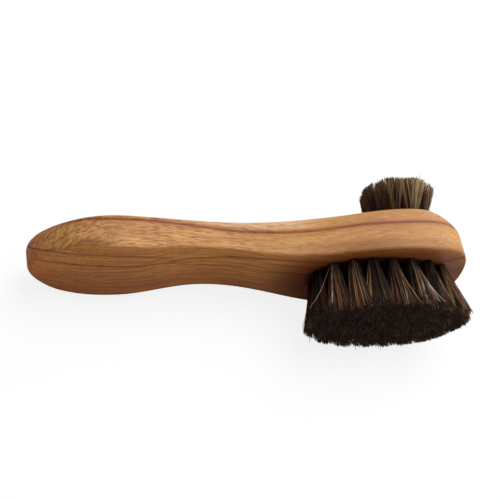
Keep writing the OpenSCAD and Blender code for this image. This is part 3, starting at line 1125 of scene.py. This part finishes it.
@dataclass
class BristlePatch:
    """One patch of bristles: a tuft of hair in each of its holes, trimmed to one plane.

    Attributes:
        prefix: Start of the tufts' names.
        side: The face that it stands on.
        slot: Material slot of the record; not used.
        spots: Places of the holes from the patch's middle.
        middle: Place of that middle along the body.
        lean: How far the tips lie from straight above the roots.
        fan: How much further apart the tips' middles are than the roots, along and across.
        reach: Height of the trimmed plane.
        hole_d: Width of a hole.
        floor: Height of the holes' floors.
        outline: Half length, half width and squareness of the trimmed outline.
        edges: Its unevenness as shares, at even angles from the nose on.
        hairs: Number of hairs in a tuft.
        tip_r: Reach of a tuft's tips from their middle.
        trim: Unevenness of the trimmed plane.
        inner_tone: What is left of the tone inside the patch.
        handle_shade: What the tone loses towards the handle.
        lock_size: About how many hairs make a lock.
        lock_share: Share of hairs with their lock's tone.
        lock_draw: Least and most that a tip moves to its lock's middle, as shares.
        seed: Start of the random draws.
        loose: Loose hairs by the tuft's number.
        lifts: How far the outer hairs of a lighter tuft go to the palest tone, by the tuft's number.
        held: Share of the outline's radius up to which tips stay where they are.
        scatter: Spread of a tip's place, before and after it is drawn in.
        stray_chance: Chance that a hair strays, and what a pale one's is more.
        stray_reach: Spread of the tips that stray.
        short_chance: Chance that a hair is cut too short.
        short_cut: Least and most that the short hairs of a tuft lack.
        root_gap: Distance from the hole's wall to the outermost roots.
        root_lift: Height of the roots over the hole's floor.
        radius: Least and greatest radius of a hair.
        pale_width: What a pale hair's radius is more, as a share.
        loose_pale: How pale a loose hair counts for its width.
        corner_turn: Turn from one hair's corners to the next one's.
        bow: How far a hair bows sideways.
        slim: Width of a hair at its end, as a share of that at its root.
        stations: Places along a hair past its hole, from 0 at the wood to 1 at its end.
    """

    prefix: str
    side: Face
    slot: str
    spots: np.ndarray
    middle: float
    lean: tuple
    fan: tuple
    reach: float
    hole_d: float
    floor: float
    outline: tuple
    edges: tuple
    hairs: int
    tip_r: float
    trim: float
    inner_tone: float
    handle_shade: float
    lock_size: int
    lock_share: float
    lock_draw: tuple
    seed: int
    loose: dict
    lifts: dict
    held: float = 0.8
    scatter: tuple = (0.45, 0.3)
    stray_chance: tuple = (0.012, 0.05)
    stray_reach: float = 1.5
    short_chance: float = 0.05
    short_cut: tuple = (0.5, 3.0)
    root_gap: float = 0.18
    root_lift: float = 0.4
    radius: tuple = (0.10, 0.145)
    pale_width: float = 0.35
    loose_pale: float = 1.1
    corner_turn: float = 2.4
    bow: float = 0.35
    slim: float = 0.82
    stations: tuple = (0.0, 0.28, 0.54, 0.79, 1.0)

    def holes(self) -> list:
        """Place, face, radius and floor of each hole, for the body's drills."""
        return [(self.middle + x, y, self.side, self.hole_d / 2, self.floor) for x, y in self.spots]

    def edge(self, angle: np.ndarray) -> np.ndarray:
        """How far the trimmed outline reaches at an angle, as a share of its oval, between the edges."""
        turns = np.arange(len(self.edges)) * 2.0 * np.pi / len(self.edges)
        return np.interp(angle, turns, self.edges, period=2.0 * np.pi)

    def gathered(self, tips: np.ndarray) -> np.ndarray:
        """Draws tips in to the patch's trimmed outline.

        The place's radius, as a share of the outline's squared oval, stays up to the held share h and
        then nears 1 as h + (1 - h) tanh((share - h) / (1 - h)).

        Args:
            tips: Rows of x and y from the middle of the tips.

        Returns:
            The rows drawn in.
        """
        half_l, half_w, bulge = self.outline
        scaled = tips / np.array([half_l, half_w])
        share = (np.abs(scaled) ** bulge).sum(1) ** (1.0 / bulge)
        share = share / self.edge(np.arctan2(scaled[:, 1], scaled[:, 0]))
        rest = 1.0 - self.held
        drawn = np.where(share > self.held, self.held + rest * np.tanh((share - self.held) / rest), share)
        return tips * (drawn / np.maximum(share, TINY))[:, None]

    def locked(self, rng: np.random.Generator, tip: np.ndarray) -> tuple[np.ndarray, np.ndarray]:
        """Draws tips together in locks, and gives each hair its lock's tone or one of its own.

        A lock's middle is the tip of any one hair, and each hair belongs to the nearest.

        Args:
            rng: The tuft's random draws.
            tip: Rows of x and y of the tips.

        Returns:
            The rows drawn together, and the tones.
        """
        count = len(tip)
        middles = tip[rng.integers(0, count, max(8, count // self.lock_size))]
        lock = np.argmin(((tip[:, None] - middles[None]) ** 2).sum(-1), axis=1)
        tip = tip + (middles[lock] - tip) * rng.uniform(*self.lock_draw, (count, 1))
        shared = rng.random(count) < self.lock_share
        return tip, np.where(shared, rng.random(len(middles))[lock], rng.random(count))

    def toned(self, index: int, disc: np.ndarray, tone: np.ndarray) -> np.ndarray:
        """The tones, less inside the patch and towards the handle, and lifted in the lighter tufts.

        Args:
            index: Number of the tuft.
            disc: Places of the hairs in their tuft, within 1 of its middle.
            tone: The hairs' tones.

        Returns:
            The changed tones.
        """
        spot = self.spots[index]
        outward = spot / max(np.hypot(*spot), TINY)
        rim = np.hypot(*(spot / np.array(self.outline[:2])))
        rim = rim * np.clip(disc @ outward * 1.5 + 0.3, 0.0, 1.0)
        tone = tone * (self.inner_tone + (1.0 - self.inner_tone) * np.clip(rim * 1.4, 0.0, 1.0))
        tone = tone * (1.0 - self.handle_shade * np.clip(-spot[0] / self.outline[0], 0.0, 1.0))
        return 1.0 - (1.0 - tone) * (1.0 - self.lifts.get(index + 1, 0.0) * np.clip(rim, 0.0, 1.0))

    def trimmed(self, rng: np.random.Generator) -> np.ndarray:
        """The height of each hair's end: near the plane, most of them below it, and a few cut shorter.

        Args:
            rng: The tuft's random draws.

        Returns:
            The heights.
        """
        below = np.abs(rng.normal(0.0, self.trim, self.hairs))
        end = self.reach - below + rng.normal(0.0, 0.12, self.hairs)
        end[rng.random(self.hairs) < self.short_chance] -= rng.uniform(*self.short_cut)
        return end

    def bowed(self, rng: np.random.Generator, pale: np.ndarray) -> tuple[np.ndarray, np.ndarray]:
        """How far each hair bows along x and y at its stations t.

        It bows in a direction of its own, by sin(pi t) and less by sin(2 pi t). A pale hair is stiffer
        and bows up to twice as far.

        Args:
            rng: The tuft's random draws.
            pale: How pale each hair is, from 0 to 1.

        Returns:
            Two arrays of shape (hairs, stations).
        """
        t = np.array(self.stations)[None, :]
        direction = rng.uniform(0.0, 2.0 * np.pi, self.hairs)[:, None]
        single = rng.normal(0.0, 1.0, (self.hairs, 1)) * np.sin(np.pi * t)
        double = rng.normal(0.0, 0.35, (self.hairs, 1)) * np.sin(2.0 * np.pi * t)
        bow = self.bow * (1.0 + pale)[:, None] * (single + double)
        return bow * np.cos(direction), bow * np.sin(direction)

    def paths(self, index: int, form: BodyForm) -> tuple[np.ndarray, np.ndarray, np.ndarray]:
        """Middle lines of a tuft's hairs.

        Roots fill the hole in a spiral. Tips fill a wider disc round the tuft's own spot in the fanned
        patch, draw together in locks and in to the outline, and some stray from it, pale ones more
        often. Between them a hair leaves by 0.7 t + 0.3 t squared of its spread, and bows. A loose
        hair is the one that stands furthest out towards the place of its tip.

        Args:
            index: Number of the tuft.
            form: Form of the body that it stands in.

        Returns:
            Points of shape (hairs, stations + 1, 3), each hair's tone, and its radius.
        """
        rng = np.random.default_rng(self.seed + index)
        spot = self.spots[index]
        n = self.hairs
        turn = np.arange(n) * GOLDEN_ANGLE + rng.uniform(-0.4, 0.4, n)
        out = np.sqrt((np.arange(n) + 0.5) / n)
        disc = np.stack([out * np.cos(turn), out * np.sin(turn)], 1)
        root = spot + disc * (self.hole_d / 2 - self.root_gap)
        tip = spot * np.array(self.fan) + disc * self.tip_r * rng.uniform(0.9, 1.1, (n, 1))
        tip, tone = self.locked(rng, tip + rng.normal(0.0, self.scatter[0], (n, 2)))
        tone = self.toned(index, disc, tone)
        pale = ease((tone - 0.7) / 0.2)
        tip = self.gathered(tip) + rng.normal(0.0, self.scatter[1], (n, 2))
        astray = rng.random(n) < self.stray_chance[0] + self.stray_chance[1] * pale
        tip[astray] += rng.normal(0.0, self.stray_reach, (astray.sum(), 2))
        end = self.trimmed(rng)
        bow_x, bow_y = self.bowed(rng, pale)
        taken = np.zeros(n, dtype=bool)
        for place_x, place_y, shade in self.loose.get(index + 1, ()):
            place = np.array([place_x, place_y])
            hair = np.argmax(np.where(taken, -np.inf, disc @ (place - spot)))
            tip[hair] = place
            tone[hair] = shade
            pale[hair] = self.loose_pale
            taken[hair] = True
        tip += np.array(self.lean)
        t = np.array(self.stations)[None, :]
        leave = 0.7 * t + 0.3 * t * t
        x, y = self.middle + root[:, :1], root[:, 1:]
        wood = np.abs(form.wood_at(x, y, self.side))
        foot = np.full((n, 1), self.floor + self.root_lift)
        points = np.stack([
            np.concatenate([x, x + (tip[:, :1] - root[:, :1]) * leave + bow_x], 1),
            np.concatenate([y, y + (tip[:, 1:] - root[:, 1:]) * leave + bow_y], 1),
            np.concatenate([foot, wood + (end[:, None] - wood) * t], 1) * self.side.value], -1)
        return points, tone, rng.uniform(*self.radius, n) * (1.0 + self.pale_width * pale)

    def unwrapped(self, rows: int) -> np.ndarray:
        """The tuft's map, in which each hair has its own cell of a square grid.

        In a cell the foot lies below, the three walls stand side by side, and the head lies above.

        Args:
            rows: Number of points along a hair.

        Returns:
            Rows of u and v, in the order of the faces' corners.
        """
        grid = math.ceil(math.sqrt(self.hairs))
        cell = np.stack([np.arange(self.hairs) % grid, np.arange(self.hairs) // grid], 1)
        u, v = np.array([0.06, 0.36, 0.64, 0.94]), np.linspace(0.1, 0.88, rows)
        turns = ((0, 0), (1, 0), (1, 1), (0, 1))
        wall = np.stack([np.stack(np.meshgrid(u[i:3 + i], v[j:rows - 1 + j]), -1) for i, j in turns], 2)
        if self.side is Face.LOWER:
            wall = wall[:, :, ::-1]
        foot = np.array([[0.1, 0.02], [0.9, 0.02], [0.5, 0.08]])
        head = np.array([[0.1, 0.9], [0.9, 0.9], [0.5, 0.98]])
        parts = [(part.reshape(-1, 2) + cell[:, None, :]).reshape(-1, 2) for part in (wall, foot, head)]
        return np.concatenate(parts) / grid

    def tuft(self, index: int, form: BodyForm) -> bpy.types.Mesh:
        """The mesh of one tuft: a three-sided tube round each hair's middle line, closed at both ends.

        Args:
            index: Number of the tuft.
            form: Form of the body that it stands in.

        Returns:
            The mesh, with the point attributes tone and along and the map OFBake.
        """
        line, tone, radius = self.paths(index, form)
        rows = line.shape[1]
        spin = np.arange(self.hairs)[:, None, None] * self.corner_turn + np.arange(3) * 2.0 * np.pi / 3
        offset = (radius[:, None] * np.linspace(1.0, self.slim, rows))[:, :, None]
        tube = np.repeat(line[:, :, None, :], 3, axis=2)
        tube[..., 0] += offset * np.cos(spin)
        tube[..., 1] += offset * np.sin(spin)
        number = np.arange(self.hairs * rows * 3).reshape(-1, rows, 3)
        faces = walls(number).reshape(-1, 4), number[:, 0, ::-1], number[:, -1]
        mesh = surface(f"{self.prefix}{index + 1:02d}", tube, *map(self.side.outward, faces))
        mesh.uv_layers.new(name="OFBake").data.foreach_set("uv", self.unwrapped(rows).ravel())
        along = np.concatenate([[0.0], self.stations])
        self.attribute(mesh, "tone", np.repeat(tone, rows * 3))
        self.attribute(mesh, "along", np.tile(np.repeat(along, 3), self.hairs))
        mesh.shade_smooth()
        return mesh

    @staticmethod
    def attribute(mesh: bpy.types.Mesh, name: str, values: np.ndarray) -> None:
        """Gives every point of a mesh a number."""
        numbers = mesh.attributes.new(name, "FLOAT", "POINT").data
        numbers.foreach_set("value", values.astype(np.float32))

    def build(self, form: BodyForm, material: bpy.types.Material) -> list[bpy.types.Object]:
        """Makes and dresses every tuft.

        Args:
            form: Form of the body that the tufts stand in.
            material: Finish of the hair.

        Returns:
            The tufts.
        """
        pieces = []
        for index in range(len(self.spots)):
            piece = shown(f"{self.prefix}hair_{index + 1:02d}", self.tuft(index, form))
            piece.data.materials.append(material)
            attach(piece, "root")
            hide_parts(f"{self.prefix}{index + 1:02d}")
            pieces.append(piece)
        return pieces


@dataclass
class Anchors:
    """The flat wires that hold the tufts in their holes, kept as the solids that they are."""

    names: tuple = ("large_anchors", "small_anchors")

    def dress(self, material: bpy.types.Material) -> list[bpy.types.Object]:
        """Gives the wires their finish.

        Args:
            material: Finish of the wire.

        Returns:
            The wires.
        """
        pieces = [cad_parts[name] for name in self.names]
        for piece in pieces:
            for slot in piece.material_slots:
                slot.material = material
        return pieces


class Lamp(NamedTuple):
    """A soft round lamp that faces the brush: its place and width in metres, and its power in watts."""

    name: str
    place: tuple
    width: float
    power: float


@dataclass
class Studio:
    """Pale floor, soft light and the camera.

    Attributes:
        form: Sizes of the body that lies on the floor.
        yaw: Turn of the camera about the drawing's z, in degrees.
        dip: How far below the drawing's plane it stands, in degrees.
        roll: Its turn about its own view, in degrees.
        distance: From the body's middle to the camera, in millimetres.
        focal_px: Focal length in the photograph's pixels.
        centre_px: Where the camera's axis meets the photograph.
        floor_half: Half width of the floor, in metres.
        floor_tilt: Its slope in degrees.
        floor_gap: How far below the wood it lies, in metres.
        floor_tone: Its colour as the brush sees it.
        floor_white: How much of it shows as plain white in the picture.
        lamps: The lamps.
        sky: Strength of the even light from all round.
    """

    form: BodyForm
    yaw: float = -18.0
    dip: float = 35.138
    roll: float = -10.587
    distance: float = 600.0
    focal_px: float = 1446.27
    centre_px: tuple = (250.869, 256.096)
    floor_half: float = 3.0
    floor_tilt: float = 1.99
    floor_gap: float = 0.00004
    floor_tone: tuple = (0.50, 0.49, 0.48)
    floor_white: float = 0.84
    lamps: tuple = (
        Lamp("key", (0.45, 0.30, 0.95), 1.1, 11.5),
        Lamp("back", (0.75, 0.70, 0.30), 0.8, 4.0),
        Lamp("fill", (0.55, -0.80, 0.30), 0.7, 2.5))
    sky: float = 0.28

    def floor(self) -> None:
        """A wide floor that slopes to touch the widest places of the head and of the handle."""
        slope = math.tan(math.radians(self.floor_tilt))
        touch = (self.form.head_x - BODY_LENGTH / 2) / PER_METRE
        x = np.array([-1.0, 1.0, 1.0, -1.0]) * self.floor_half
        y = np.array([-1.0, -1.0, 1.0, 1.0]) * self.floor_half
        mesh = bpy.data.meshes.new("floor")
        corners = np.stack([x, y, (touch - x) * slope - self.floor_gap], 1)
        mesh.from_pydata(corners.tolist(), [], [(0, 1, 2, 3)])
        pale = Recipe("pale_floor", {"Roughness": 0.9, "Specular IOR Level": 0.1})
        seen = pale.add("ShaderNodeLightPath", {}, {}, "Is Camera Ray")
        pale.feed("Base Color", pale.mix(seen, self.floor_tone, WHITE))
        white = pale.add("ShaderNodeEmission", {}, {0: (*WHITE, 1.0), 1: 1.0})
        own = Shade(pale, pale.shader.outputs[0])
        lit = pale.add("ShaderNodeMixShader", {}, {0: seen * self.floor_white, 1: own, 2: white})
        pale.link(lit, pale.output.inputs[0])
        mesh.materials.append(pale.material)
        shown("floor", mesh)

    def light(self) -> None:
        """A large soft lamp above, weaker ones behind and in front, and an even sky that shows white."""
        for lamp in self.lamps:
            source = bpy.data.lights.new(lamp.name, "AREA")
            source.shape = "DISK"
            source.size = lamp.width
            source.energy = lamp.power
            spot = Vector(lamp.place)
            facing = (-spot).to_track_quat("-Z", "Y").to_matrix().to_4x4()
            shown(lamp.name, source).matrix_world = Matrix.Translation(spot) @ facing
        world = bpy.data.worlds.new("sky")
        world.use_nodes = True
        sky = Nodes(world.node_tree)
        seen = sky.add("ShaderNodeLightPath", {}, {}, "Is Camera Ray")
        seen = seen.most(sky.add("ShaderNodeLightPath", {}, {}, "Is Transmission Ray"))
        back = sky.tree.nodes["Background"]
        back.inputs[0].default_value = (*WHITE, 1.0)
        sky.link(sky.add("ShaderNodeMapRange", {}, {0: seen, 3: self.sky}), back.inputs[1])
        bpy.context.scene.world = world

    def camera(self) -> None:
        """The camera, turned by yaw, dip and roll in the drawing and laid down with it."""
        yaw, dip, roll = (math.radians(angle) for angle in (self.yaw, self.dip, self.roll))
        back = np.array([math.sin(yaw) * math.cos(dip), -math.cos(yaw) * math.cos(dip), -math.sin(dip)])
        right = np.array([math.cos(yaw), math.sin(yaw), 0.0])
        up = np.cross(right, -back)
        turned = math.cos(roll) * right + math.sin(roll) * up
        upward = -math.sin(roll) * right + math.cos(roll) * up
        lens = bpy.data.cameras.new("camera")
        lens.lens = self.focal_px * lens.sensor_width / PHOTO_PX
        lens.shift_x = (PHOTO_PX / 2 - self.centre_px[0]) / PHOTO_PX
        lens.shift_y = (self.centre_px[1] - PHOTO_PX / 2) / PHOTO_PX
        lens.clip_start = 0.01
        pose = np.eye(4)
        pose[:3, :3] = (lay(np.array([turned, upward, back]) * PER_METRE) - lay(np.zeros(3))).T
        pose[:3, 3] = lay(back * self.distance + np.array([BODY_LENGTH / 2, 0.0, 0.0]))
        piece = shown("camera", lens)
        piece.matrix_world = Matrix(pose.tolist())
        bpy.context.scene.camera = piece

    def build(self) -> None:
        """Sets up the floor, the light, the camera and the plain view."""
        self.floor()
        self.light()
        self.camera()
        bpy.context.scene.view_settings.view_transform = "Standard"


DARK_HAIR = HairFinish(
    name="dark_horsehair",
    stops=(
        (0.00, (0.013, 0.010, 0.008)),
        (0.40, (0.017, 0.011, 0.009)),
        (0.52, (0.105, 0.034, 0.020)),
        (0.62, (0.032, 0.020, 0.019)),
        (0.72, (0.200, 0.074, 0.033)),
        (0.80, (0.095, 0.060, 0.046)),
        (0.87, (0.290, 0.140, 0.046)),
        (0.92, (0.200, 0.135, 0.095)),
        (0.96, (0.460, 0.270, 0.095)),
        (0.995, (0.580, 0.500, 0.400)),
    ),
    # The near-black cut colour paints the shade on the large patch's trimmed face.
    tip=(0.026, 0.023, 0.017), tip_share=0.5, cut=(0.016, 0.015, 0.011), cut_shade_share=0.7, root_shade=0.2,
)

MIXED_HAIR = HairFinish(
    name="mixed_horsehair",
    stops=(
        (0.00, (0.028, 0.013, 0.011)),
        (0.22, (0.036, 0.017, 0.014)),
        (0.36, (0.125, 0.042, 0.023)),
        (0.50, (0.115, 0.062, 0.026)),
        (0.62, (0.075, 0.033, 0.022)),
        (0.74, (0.215, 0.120, 0.043)),
        (0.88, (0.270, 0.175, 0.080)),
        (0.99, (0.370, 0.265, 0.140)),
    ),
    tip=(0.200, 0.115, 0.048), tip_share=0.55, cut=(0.150, 0.090, 0.040), cut_shade_share=0.5, root_shade=0.3,
)

# Loose pale hairs by the tuft's number: where the tip ends, from the patch's middle, and its tone.
LOOSE_HAIRS = {
    11: ((-37.6, -12.6, 0.93), (-28.7, -15.3, 1.0), (-30.0, -14.6, 0.9)),
    12: ((-15.2, -15.1, 0.97),),
    15: ((17.0, -16.1, 1.0), (18.5, -16.8, 0.99), (9.9, -15.4, 0.97)),
    17: ((26.3, -11.6, 0.97), (24.7, -13.1, 0.96), (24.0, -13.6, 0.95)),
}

# How far the outer hairs of a lighter tuft are lifted towards the palest tone, by the tuft's number.
LIGHT_TUFTS = {12: 0.25, 14: 0.15, 15: 0.2, 17: 0.5}


def patches() -> tuple[BristlePatch, BristlePatch]:
    """The sizes of both patches.

    Returns:
        The large and the small patch.
    """
    rim = oval_spots(length=56.4, width=25.6, bulge=2.6, count=17, phase=0.0)
    large = BristlePatch(
        prefix="large_tuft_", side=Face.LOWER, slot="dark_horsehair",
        spots=np.concatenate([rim, core_spots(pitch=8.3, width=8.4, row=4)]),
        middle=146.0, lean=(0.0, 0.0), fan=(1.13, 1.0), reach=LARGE_REACH, hole_d=4.2, floor=2.4,
        outline=(36.2, 16.6, 2.3),
        edges=(0.96, 0.83, 0.93, 1.05, 1.08, 1.07, 1.09, 0.96, 0.94, 0.95, 0.99, 1.09),
        hairs=660, tip_r=5.6, trim=0.4, inner_tone=0.72, handle_shade=0.16,
        lock_size=14, lock_share=0.55, lock_draw=(0.1, 0.5), seed=100,
        loose=LOOSE_HAIRS, lifts=LIGHT_TUFTS)
    rim = oval_spots(length=20.0, width=17.0, bulge=2.3, count=8, phase=0.5)
    small = BristlePatch(
        prefix="small_tuft_", side=Face.UPPER, slot="mixed_horsehair",
        spots=np.concatenate([rim, [[-3.7, 0.0], [3.7, 0.0]]]),
        middle=160.0, lean=(1.7, -1.2), fan=(1.3, 1.28), reach=SMALL_REACH, hole_d=4.0, floor=4.1,
        outline=(16.9, 13.6, 2.2),
        edges=(1.06, 1.03, 0.93, 0.84, 0.80, 0.84, 0.91, 0.97, 1.06, 1.00, 1.08, 1.10),
        hairs=620, tip_r=6.6, trim=0.5, inner_tone=0.95, handle_shade=0.3,
        lock_size=45, lock_share=0.7, lock_draw=(0.0, 0.3), seed=500,
        loose={}, lifts={})
    return large, small


def main() -> None:
    """Builds and dresses the brush and its studio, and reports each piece."""
    logging.basicConfig(level=logging.INFO, format="%(message)s")
    form = BodyForm()
    large, small = patches()
    pieces = [WoodenBody(form, large.holes() + small.holes()).build(BeechFinish().make())]
    pieces += large.build(form, DARK_HAIR.make())
    pieces += small.build(form, MIXED_HAIR.make())
    pieces += Anchors().dress(WireFinish().make())
    for piece in pieces:
        LOG.info("%s: %d faces", piece.name, len(piece.data.polygons))
    Studio(form).build()


if __name__ == "__main__":
    main()
